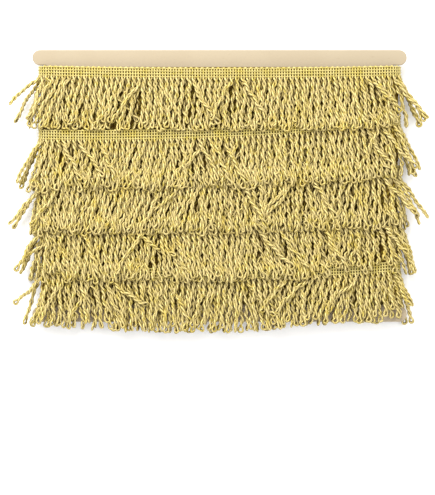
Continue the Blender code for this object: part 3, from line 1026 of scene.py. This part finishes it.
class FRINGE_OT_inner_turns(bpy.types.Operator):
    """The turns underneath, as a ridged sleeve round the card"""

    bl_idname = "fringe.inner_turns"
    bl_label = "Inner turns"

    def execute(self, context):
        """The offset over laps and drops is a step for each row plus a row of rounded ridges,
        one for each cord: the square root of one minus the square of the place across it. Two
        sines make the ridges sway. On the front the sleeve is lower, under the rear cords."""
        sizes, colours = context.scene.fringe_sizes, context.scene.fringe_colours
        count = round(TURN_RUN / sizes.cord_pitch)
        pitch = TURN_RUN / count
        runs = np.arange(count * 4) / 4 * pitch
        drops = np.linspace(BED_TOP, BED_END, BED_POINTS)
        run, drop = np.meshgrid(runs, drops, indexing="ij")
        tooth = (drop - BED_TOP) / (BED_END - BED_TOP) * len(ROWS)
        row = np.floor(tooth)
        turn = math.tau * run / TURN_RUN
        sway = BROAD_SWAY * np.sin(3 * turn + row * 2.1) + CLOSE_SWAY * np.sin(11 * turn + row)
        across = run + sway * (tooth - row)
        place = (across / pitch) % 1 * 2 - 1
        ridge = np.sqrt(np.maximum(1 - place**2, 0))
        step = smooth((tooth - row) / 0.3) * smooth((1 + row - tooth) / 0.06)
        offset = BED_LOW + (BED_HIGH - BED_LOW) * (0.25 * step + 0.75 * ridge)
        lap = lap_at(run)
        inside = smooth((lap - 0.01) / 0.02) * smooth((0.99 - lap) / 0.02) * (lap < 1)
        offset = offset + (BED_FRONT + FRONT_RIDGE * ridge - offset) * inside
        x, y, _, _ = stadium(lap, offset)
        outer = np.stack([x, y, CARD_HEIGHT - drop], axis=-1)
        x, y, _, _ = stadium(lap[:, :1], BED_INNER + 0 * lap[:, :1])
        inner_low = np.stack([x, y, 0 * x + CARD_HEIGHT - BED_END], axis=-1)
        inner_high = np.stack([x, y, 0 * x + CARD_HEIGHT - BED_TOP], axis=-1)
        points = to_world(np.concatenate([outer, inner_low, inner_high], axis=1)).reshape(-1, 3)
        rows = len(drops) + 2
        index = np.arange(len(runs) * rows).reshape(len(runs), rows)
        right, down = np.roll(index, -1, 0), np.roll(index, -1, 1)
        faces = np.stack([index, down, np.roll(right, -1, 1), right], axis=-1).reshape(-1, 4)
        next_across = np.roll(across, -1, axis=0)
        next_across[-1] += TURN_RUN
        margin = ((0, 0), (0, 3), (0, 0))
        low_uv = np.pad(np.stack([across, drop], axis=-1), margin, mode="edge")
        high_uv = np.pad(np.stack([next_across, drop], axis=-1), margin, mode="edge")
        corners = (low_uv[:, :-1], low_uv[:, 1:], high_uv[:, 1:], high_uv[:, :-1])
        uv = np.stack(corners, axis=-2).reshape(-1, 2)
        material = shaded_under_finish("gold cords underneath in painted shade", colours, pitch, sizes.twist_length)
        made = put_mesh("wound_inner_turns", points, faces, material, uv)
        claim(made, "inner_turns")
        return {"FINISHED"}


class FRINGE_OT_heading(bpy.types.Operator):
    """The woven heading: ribs of the gold yarn, and four lengthwise threads"""

    bl_idname = "fringe.heading"
    bl_label = "Heading"

    def execute(self, context):
        sizes, colours = context.scene.fringe_sizes, context.scene.fringe_colours
        dice = np.random.default_rng(HEADING_SEED)
        material = yarn_finish("gold heading yarn", colours, HEADING_TINT)
        ribs, threads = [], []
        for row in reversed(range(len(ROWS))):
            runs = turn_runs(row, sizes.cord_pitch)
            pitch = runs[1] - runs[0]
            ribs.append(rib_yarns(row, runs[: -1 if row == 0 else None], pitch, sizes))
            threads.append(thread_paths(row, runs, pitch, sizes))
        for name, parts, axis, radius, sides in (
            ("heading_ribs", ribs, 0, sizes.yarn_radius * RIB_SHARE, YARN_SIDES),
            ("heading_threads", threads, 1, sizes.thread_radius, THREAD_SIDES),
        ):
            paths, out = (np.concatenate(part, axis=axis) for part in zip(*parts))
            points, faces, uv, facing = tubes(to_world(paths), radius, sides, turned(out))
            tone = tube_tones(dice.uniform(0.5, 1.0, len(paths)), paths.shape[1], sides)
            drop = CARD_HEIGHT - (points[:, 1] - CARD_LOW[1])
            # painted shade on the third and fourth headings, which other rows cover
            depth = COVERED_SHADE * ((drop >= COVERED_FROM) & (drop < COVERED_TO))
            numbers = {"tone": tone, "facing": facing, "depth": depth}
            claim(put_mesh(name, points, faces, material, uv, **numbers), "heading")
        return {"FINISHED"}


class FRINGE_OT_cords(bpy.types.Operator):
    """The hanging cords of all five turns, settled on each other from the bottom turn up"""

    bl_idname = "fringe.cords"
    bl_label = "Cords"

    def execute(self, context):
        """In each turn the rear cords of the front face hang half a pitch aside from the others,
        and all settle together on the turn below. The rear ones go to the inner turns."""
        sizes, colours = context.scene.fringe_sizes, context.scene.fringe_colours
        material = yarn_finish("gold cord yarn", colours, CORD_TINT)
        radius = (1 + PRESSED) * sizes.yarn_radius
        passes = PASSES
        below = np.zeros((0, 3))
        inner = []
        for row in reversed(range(len(ROWS))):
            dice = np.random.default_rng(SEED + row)
            runs = turn_runs(row, sizes.cord_pitch)
            pitch = runs[1] - runs[0]
            between = runs[np.abs(runs - FACE_RUN / 2) < (FACE_RUN + EDGE_RUN) / 2] + pitch / 2
            order = np.argsort(np.concatenate([runs, between]))
            rear = order >= len(runs)
            plans = (
                plan_cords(row, runs, sizes, dice, 1.0, LENGTH_SPREAD),
                plan_cords(row, between, sizes, dice, REAR_LEAN, REAR_SPREAD),
            )
            plan, step, out, face = (np.concatenate(parts)[order] for parts in zip(*plans))
            plan -= REAR_DEPTH * out[:, None] * rear[:, None, None]
            points = settle(row, plan, step, face, rear, below, radius, passes)
            below = np.concatenate([below, points.reshape(-1, 3)])
            paths, outward = cord_yarns(points, out, pitch, sizes, dice)
            # the third part is the painted shade of the deep cords
            cords = (paths, outward, deep_shade_share(paths, sizes.yarn_radius))
            inner.append([part[rear] for part in cords])
            turn = len(ROWS) - row
            front = [part[~rear] for part in cords]
            name, node = f"cords_turn_{turn}", f"skirt_turn_{turn}"
            put_cords(name, node, front, YARN_SIDES, material, sizes, dice)
        inner = [np.concatenate(parts) for parts in zip(*inner)]
        put_cords("inner_cords", "inner_turns", inner, REAR_SIDES, material, sizes, dice)
        return {"FINISHED"}


def deep_shade_share(paths, radius):
    """How much painted shade each point gets for lying deep among the cords of the front face: from
    0 at the front ones' height to 1 on what is under the rear ones. It fades out towards the edges."""
    x, y = paths[..., 0], paths[..., 1]
    height = -y - REAR_BASE - radius
    inside = (y < 0) * smooth((BEND_CENTRE - np.abs(x)) / EDGE_FADE)
    return (1 - smooth(height / OPEN_HEIGHT)) * inside


def put_cords(name, node, yarns, sides, material, sizes, dice):
    """Makes one piece of many cords' yarns, none of them lower than the floor."""
    paths, outward, depth = yarns
    paths = to_world(paths)
    paths[..., 2] = np.maximum(paths[..., 2], sizes.yarn_radius)
    points, faces, uv, facing = tubes(paths, sizes.yarn_radius, sides, turned(outward))
    tone = tube_tones(dice.uniform(0.5, 1.0, len(paths)), paths.shape[1], sides)
    # the painted shade of the deep cords, one value for each point
    depth = np.repeat(np.pad(depth, ((0, 0), (1, 1)), mode="edge"), sides, axis=1)
    made = put_mesh(name, points, faces, material, uv, tone=tone, facing=facing, depth=depth)
    claim(made, node)


# The photograph's framing: its size, its scale, and where the card's middle and top edge lie
PHOTO_SIZE = (435, 495)
METRES_PER_PIXEL = 0.78 * MM
CARD_MIDDLE_PIXEL = 219.6
CARD_TOP_PIXEL = 50.0
CAMERA_HEIGHT = 1.6
SENSOR = 36.0


class FRINGE_OT_stage(bpy.types.Operator):
    """The floor, the soft studio lights and the camera"""

    bl_idname = "fringe.stage"
    bl_label = "Stage"

    def execute(self, context):
        scene = context.scene
        scene.view_settings.view_transform = "Standard"
        half = 3.0
        corners = np.array([[-half, -half, 0], [half, -half, 0], [half, half, 0], [-half, half, 0]])
        finish = Finish("pale floor")
        pale = (*scene.fringe_colours.floor, 1)
        finish.set(Base_Color=pale, Roughness=0.9, Specular_IOR_Level=0.1)
        floor = put_mesh("floor", corners, np.array([[0, 1, 2, 3]]), finish.material)
        lights = (
            ("key_light", (-0.3, 0.66, 0.8), 0.8, 15.5),
            ("fill_light", (1.2, -0.2, 2.0), 1.4, 14.0),
        )
        for name, place, size, power in lights:
            data = bpy.data.lights.new(name, "AREA")
            data.shape = "DISK"
            data.size = size
            data.energy = power
            lamp = bpy.data.objects.new(name, data)
            lamp.location = place
            lamp.rotation_euler = (-Vector(place)).to_track_quat("-Z", "Y").to_euler()
            scene.collection.objects.link(lamp)
        world = bpy.data.worlds.new("soft_room")
        world.use_nodes = True
        background = world.node_tree.nodes["Background"]
        background.inputs["Color"].default_value = (1.0, 1.0, 1.0, 1.0)
        background.inputs["Strength"].default_value = 1.12
        scene.world = world
        middle_x = CARD_MIDDLE_X + (PHOTO_SIZE[0] / 2 - CARD_MIDDLE_PIXEL) * METRES_PER_PIXEL
        middle_y = CARD_HIGH[1] - (PHOTO_SIZE[1] / 2 - CARD_TOP_PIXEL) * METRES_PER_PIXEL
        data = bpy.data.cameras.new("camera")
        data.sensor_fit = "VERTICAL"
        data.sensor_height = SENSOR
        data.lens = SENSOR * (CAMERA_HEIGHT - CARD_MIDDLE_Z) / (PHOTO_SIZE[1] * METRES_PER_PIXEL)
        camera = bpy.data.objects.new("camera", data)
        camera.location = (middle_x, middle_y, CAMERA_HEIGHT)
        scene.collection.objects.link(camera)
        scene.camera = camera
        return {"FINISHED"}


class FRINGE_PT_sidebar(bpy.types.Panel):
    """Lists the fringe's pieces and sizes"""

    bl_idname = "FRINGE_PT_sidebar"
    bl_label = "Bullion fringe"
    bl_space_type = "VIEW_3D"
    bl_region_type = "UI"
    bl_category = "Fringe"

    def draw(self, context):
        scene = context.scene
        for group in (scene.fringe_sizes, scene.fringe_colours):
            for name in group.__annotations__:
                self.layout.prop(group, name)
        for operator in OPERATORS:
            self.layout.operator(operator.bl_idname)


OPERATORS = (
    FRINGE_OT_card,
    FRINGE_OT_inner_turns,
    FRINGE_OT_heading,
    FRINGE_OT_cords,
    FRINGE_OT_stage,
)
CLASSES = (FringeSizes, FringeColours, *OPERATORS, FRINGE_PT_sidebar)


def register():
    for one in CLASSES:
        bpy.utils.register_class(one)
    bpy.types.Scene.fringe_sizes = bpy.props.PointerProperty(type=FringeSizes)
    bpy.types.Scene.fringe_colours = bpy.props.PointerProperty(type=FringeColours)


def unregister():
    del bpy.types.Scene.fringe_colours
    del bpy.types.Scene.fringe_sizes
    for one in reversed(CLASSES):
        bpy.utils.unregister_class(one)


def main():
    register()
    bpy.ops.fringe.card()
    bpy.ops.fringe.inner_turns()
    bpy.ops.fringe.heading()
    bpy.ops.fringe.cords()
    bpy.ops.fringe.stage()


if __name__ == "__main__":
    main()
